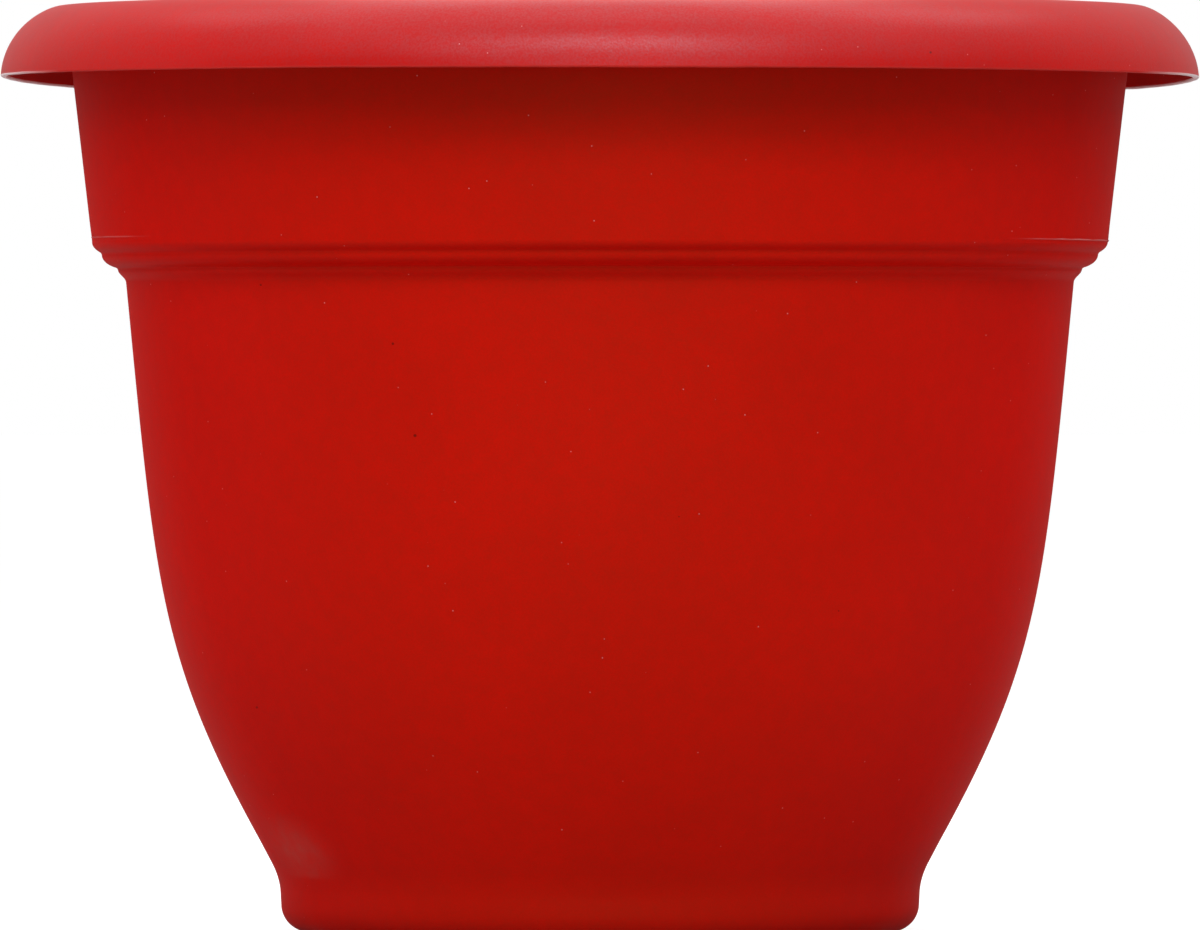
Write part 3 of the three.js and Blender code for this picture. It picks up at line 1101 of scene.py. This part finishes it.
def add_feet(grid):
    """Hollow conical feet, open above and slotted at their sides, and finger holes between."""
    foot = GRID_LOW.z
    past_top = GRID_TOP + CUT_PAST
    slot_low = foot + CUP_SLOT_ABOVE_FOOT
    slot_high = GRID_UNDER - CUP_SLOT_BELOW_DISC
    cup = cone(CUP_FOOT_RADIUS, CUP_TOP_RADIUS, foot, GRID_UNDER + GRID_ROOT)
    inside = cone(
        CUP_FOOT_RADIUS - CUP_WALL, CUP_TOP_RADIUS - CUP_WALL, foot + CUP_WALL, past_top,
    )
    hole = cone(FINGER_HOLE_RADIUS, FINGER_HOLE_RADIUS, GRID_UNDER - CUT_PAST, past_top)
    cups = []
    insides = []
    slots = []
    for i in range(CUP_COUNT):
        centre = on_circle(CUP_CIRCLE, turn(i, CUP_COUNT))
        between = on_circle(CUP_CIRCLE, turn(i + 0.5, CUP_COUNT))
        cups.append(revolve("cup", cup, SMALL_SEGMENTS, centre))
        insides.append(revolve("inside", inside, SMALL_SEGMENTS, centre))
        insides.append(revolve("finger_hole", hole, SMALL_SEGMENTS, between))
        for side in range(CUP_SLOT_COUNT):
            plan = bar_plan(turn(side, CUP_SLOT_COUNT), *CUP_SLOT_ENDS, SLOT_WIDTH, centre)
            slots.append(prism("cup_slot", plan, slot_low, slot_high))
    combine(grid, cups, "UNION")
    combine(grid, insides, "DIFFERENCE")
    combine(grid, slots, "DIFFERENCE")


def cut_slots(grid):
    """Rings of radial slots through the disc."""
    low = GRID_UNDER - RING_RIB_DEPTH - CUT_PAST
    slots = []
    for inner, outer, count in SLOT_RINGS:
        for i in range(count):
            plan = bar_plan(turn(i + 0.5, count), inner, outer, SLOT_WIDTH)
            slots.append(prism("slot", plan, low, GRID_TOP + CUT_PAST))
    combine(grid, slots, "DIFFERENCE")


def make_grid():
    """A slotted disc with a turned-down skirt, on four hollow slotted feet."""
    grid = revolve("grid_disc", grid_outline(), GRID_SEGMENTS)
    add_ring_ribs(grid)
    add_feet(grid)
    cut_slots(grid)
    clean(grid)
    soften(grid, GRID_SOFTENING)
    clean(grid)
    shade(grid, GRID_SHARP_ANGLE)
    return grid


def plug_outline():
    """The flange, and the shank with its groove, bulge and tapered tip."""
    low = PLUG_LOW.z
    tip = PLUG_HIGH.z
    flange_top = low + FLANGE_THICKNESS
    shank = DRAIN_RADIUS - CLEARANCE
    flange_low_edge = (FLANGE_RADIUS, low)
    flange_high_edge = (FLANGE_RADIUS, flange_top)
    shank_foot = (shank, flange_top)
    groove = (shank - GROOVE_DEPTH, flange_top + GROOVE_HEIGHT)
    bulge = (shank, flange_top + BULGE_HEIGHT)
    tip_edge = (shank - TIP_TAPER, tip)
    points = [(0.0, low)]
    points += rounded((0.0, low), flange_low_edge, flange_high_edge, FLANGE_ROUNDING)
    points += rounded(flange_low_edge, flange_high_edge, shank_foot, FLANGE_TOP_ROUNDING)
    points += [shank_foot, (shank, flange_top + SHANK_FOOT_HEIGHT)]
    points += rounded(groove, bulge, tip_edge, BULGE_ROUNDING)
    points += rounded(bulge, tip_edge, (0.0, tip), TIP_ROUNDING)
    return points + [(0.0, tip)]


def add_tab(plug, index):
    """A pull tab that points in to the planter's middle."""
    inward = drain_angle(index) + math.pi
    end = FLANGE_RADIUS + TAB_LENGTH
    plan = bar_plan(inward, TAB_START, end, TAB_WIDTH, drain_centre(index))
    low = PLUG_LOW.z
    tab = prism("tab", plan, low + TAB_RISE, low + FLANGE_THICKNESS - TAB_STEP)
    combine(plug, [tab], "UNION")


def cut_core(plug, index):
    """The hollow up the middle of the shank, open below."""
    low = PLUG_LOW.z - CUT_PAST
    roof = PLUG_HIGH.z - PLUG_ROOF
    core = cone(PLUG_CORE_RADIUS, PLUG_CORE_RADIUS - PLUG_CORE_TAPER, low, roof)
    tool = revolve("core", core, SMALL_SEGMENTS, drain_centre(index))
    combine(plug, [tool], "DIFFERENCE")


def make_plug(index):
    """A flange with a pull tab below the floor, and a cored shank up through the hole."""
    plug = revolve(f"plug_{index + 1}", plug_outline(), SMALL_SEGMENTS, drain_centre(index))
    add_tab(plug, index)
    cut_core(plug, index)
    clean(plug)
    soften(plug, PLUG_SOFTENING)
    clean(plug)
    shade(plug, PLUG_SHARP_ANGLE)
    return plug


finish_piece(make_shell(), moulded_red(), "planter", "planter_body")
finish_piece(make_grid(), moulded_grey(), "grid", "soil_grid")
rubber = plug_rubber()
for number in range(DRAIN_COUNT):
    plug_body = f"plug_{number + 1}"
    finish_piece(make_plug(number), rubber, plug_body, f"drain_{plug_body}")


# ---------------------------------------------------------------- stage, light and camera

# Camera: distances in metres, and the sensor in millimetres
CAMERA_DISTANCE = 5.342
CAMERA_HEIGHT = 0.1980
AIM_HEIGHT = 0.1579
CAMERA_ROLL = math.radians(-0.02)
SENSOR_WIDTH = 36.0
PICTURE_WIDTH = 0.4067
CLIP_END = 100

# Floor: pale, just under the pot, and glowing to the camera only
FLOOR_REACH = 30.0
FLOOR_GAP = 0.0003
FLOOR_TONE = 0.53
FLOOR_ROUGHNESS = 0.9
FLOOR_GLOW = 0.8

# Softboxes stand on a sphere around a point inside the planter.
LIGHT_DISTANCE = 2.4
LIGHT_HEIGHT = 0.17
PANEL = (1.1, 1.1)
WORLD_GLOW = 0.37

# Each softbox: degrees round to the right of the camera's side, degrees up, power in watts,
# size, whether it lights the plastic, and whether the plastic mirrors it
SOFTBOXES = (
    ("top", 0, 85, 4.0, PANEL, True, True),
    ("front_left_high", -60, 60, 2.0, PANEL, True, True),
    ("front_right_high", 60, 60, 1.6, PANEL, True, True),
    ("back_left_high", -120, 60, 3.0, PANEL, True, True),
    ("back_right_high", 120, 60, 4.2, PANEL, True, True),
    ("back_high", 180, 60, 7.0, PANEL, True, True),
    ("front_left", -20, 35, 6.9, PANEL, True, True),
    ("front_right", 20, 35, 6.3, PANEL, True, True),
    ("left", -60, 35, 10.7, PANEL, True, False),
    ("right", 60, 35, 5.6, PANEL, True, False),
    ("side_left", -90, 12, 3.0, PANEL, True, False),
    ("side_right", 100, 35, 2.2, PANEL, True, False),
    ("rim_sheen", 4, 42, 10.0, (1.1, 0.5), True, True),
    ("low_sheen", 5, 11, 10.0, (2.2, 0.7), False, True),
)


def link_new(name, data):
    """A new object in the scene that holds the data."""
    made = bpy.data.objects.new(name, data)
    bpy.context.scene.collection.objects.link(made)
    return made


def make_camera():
    """A long lens, nearly level with the planter and in front of it."""
    data = bpy.data.cameras.new("camera")
    data.sensor_width = SENSOR_WIDTH
    data.lens = SENSOR_WIDTH * CAMERA_DISTANCE / PICTURE_WIDTH
    data.clip_end = CLIP_END
    camera = link_new("camera", data)
    camera.location = (0, -CAMERA_DISTANCE, CAMERA_HEIGHT)
    look = Vector((0, 0, AIM_HEIGHT)) - camera.location
    camera.rotation_euler = look.to_track_quat("-Z", "Y").to_euler()
    camera.rotation_euler.rotate_axis("Z", CAMERA_ROLL)
    bpy.context.scene.camera = camera


def make_floor():
    """A plain pale ground that looks white to the camera."""
    corners = [(-1, -1, 0), (1, -1, 0), (1, 1, 0), (-1, 1, 0)]
    mesh = bpy.data.meshes.new("floor")
    mesh.from_pydata([Vector(corner) * FLOOR_REACH for corner in corners], [], [(0, 1, 2, 3)])
    floor = link_new("floor", mesh)
    floor.location.z = -FLOOR_GAP
    material, tree, shader, _ = new_material("pale_floor")
    shader.inputs["Base Color"].default_value = (FLOOR_TONE, FLOOR_TONE, FLOOR_TONE, 1)
    shader.inputs["Roughness"].default_value = FLOOR_ROUGHNESS
    shader.inputs["Emission Color"].default_value = WHITE
    camera_ray = add_node(tree, "ShaderNodeLightPath").outputs["Is Camera Ray"]
    glow = times(tree, camera_ray, FLOOR_GLOW)
    tree.links.new(glow, shader.inputs["Emission Strength"])
    floor.data.materials.append(material)


def add_softbox(name, azimuth, elevation, power, size, lights, mirrored):
    """A square or oblong lamp that faces the planter."""
    data = bpy.data.lights.new(name, "AREA")
    data.shape = "RECTANGLE"
    data.size, data.size_y = size
    data.energy = power
    aim = Vector((0, 0, LIGHT_HEIGHT))
    turned = math.radians(azimuth)
    raised = math.radians(elevation)
    level = math.cos(raised)
    away = Vector((math.sin(turned) * level, -math.cos(turned) * level, math.sin(raised)))
    light = link_new(name, data)
    light.visible_diffuse = lights
    light.visible_glossy = mirrored
    light.location = aim + away * LIGHT_DISTANCE
    light.rotation_euler = (-away).to_track_quat("-Z", "Y").to_euler()


def make_lights():
    """The softboxes, and a white surround that lights the planter less than it shows."""
    for softbox in SOFTBOXES:
        add_softbox(*softbox)
    world = bpy.data.worlds.new("studio")
    world.use_nodes = True
    tree = world.node_tree
    background = tree.nodes["Background"]
    background.inputs["Color"].default_value = WHITE
    camera_ray = add_node(tree, "ShaderNodeLightPath").outputs["Is Camera Ray"]
    strength = ramp(tree, camera_ray, 0, 1, WORLD_GLOW, 1.0)
    tree.links.new(strength, background.inputs["Strength"])
    bpy.context.scene.world = world


make_camera()
make_floor()
make_lights()
bpy.context.scene.view_settings.view_transform = "Standard"
bpy.context.scene.view_settings.look = "None"
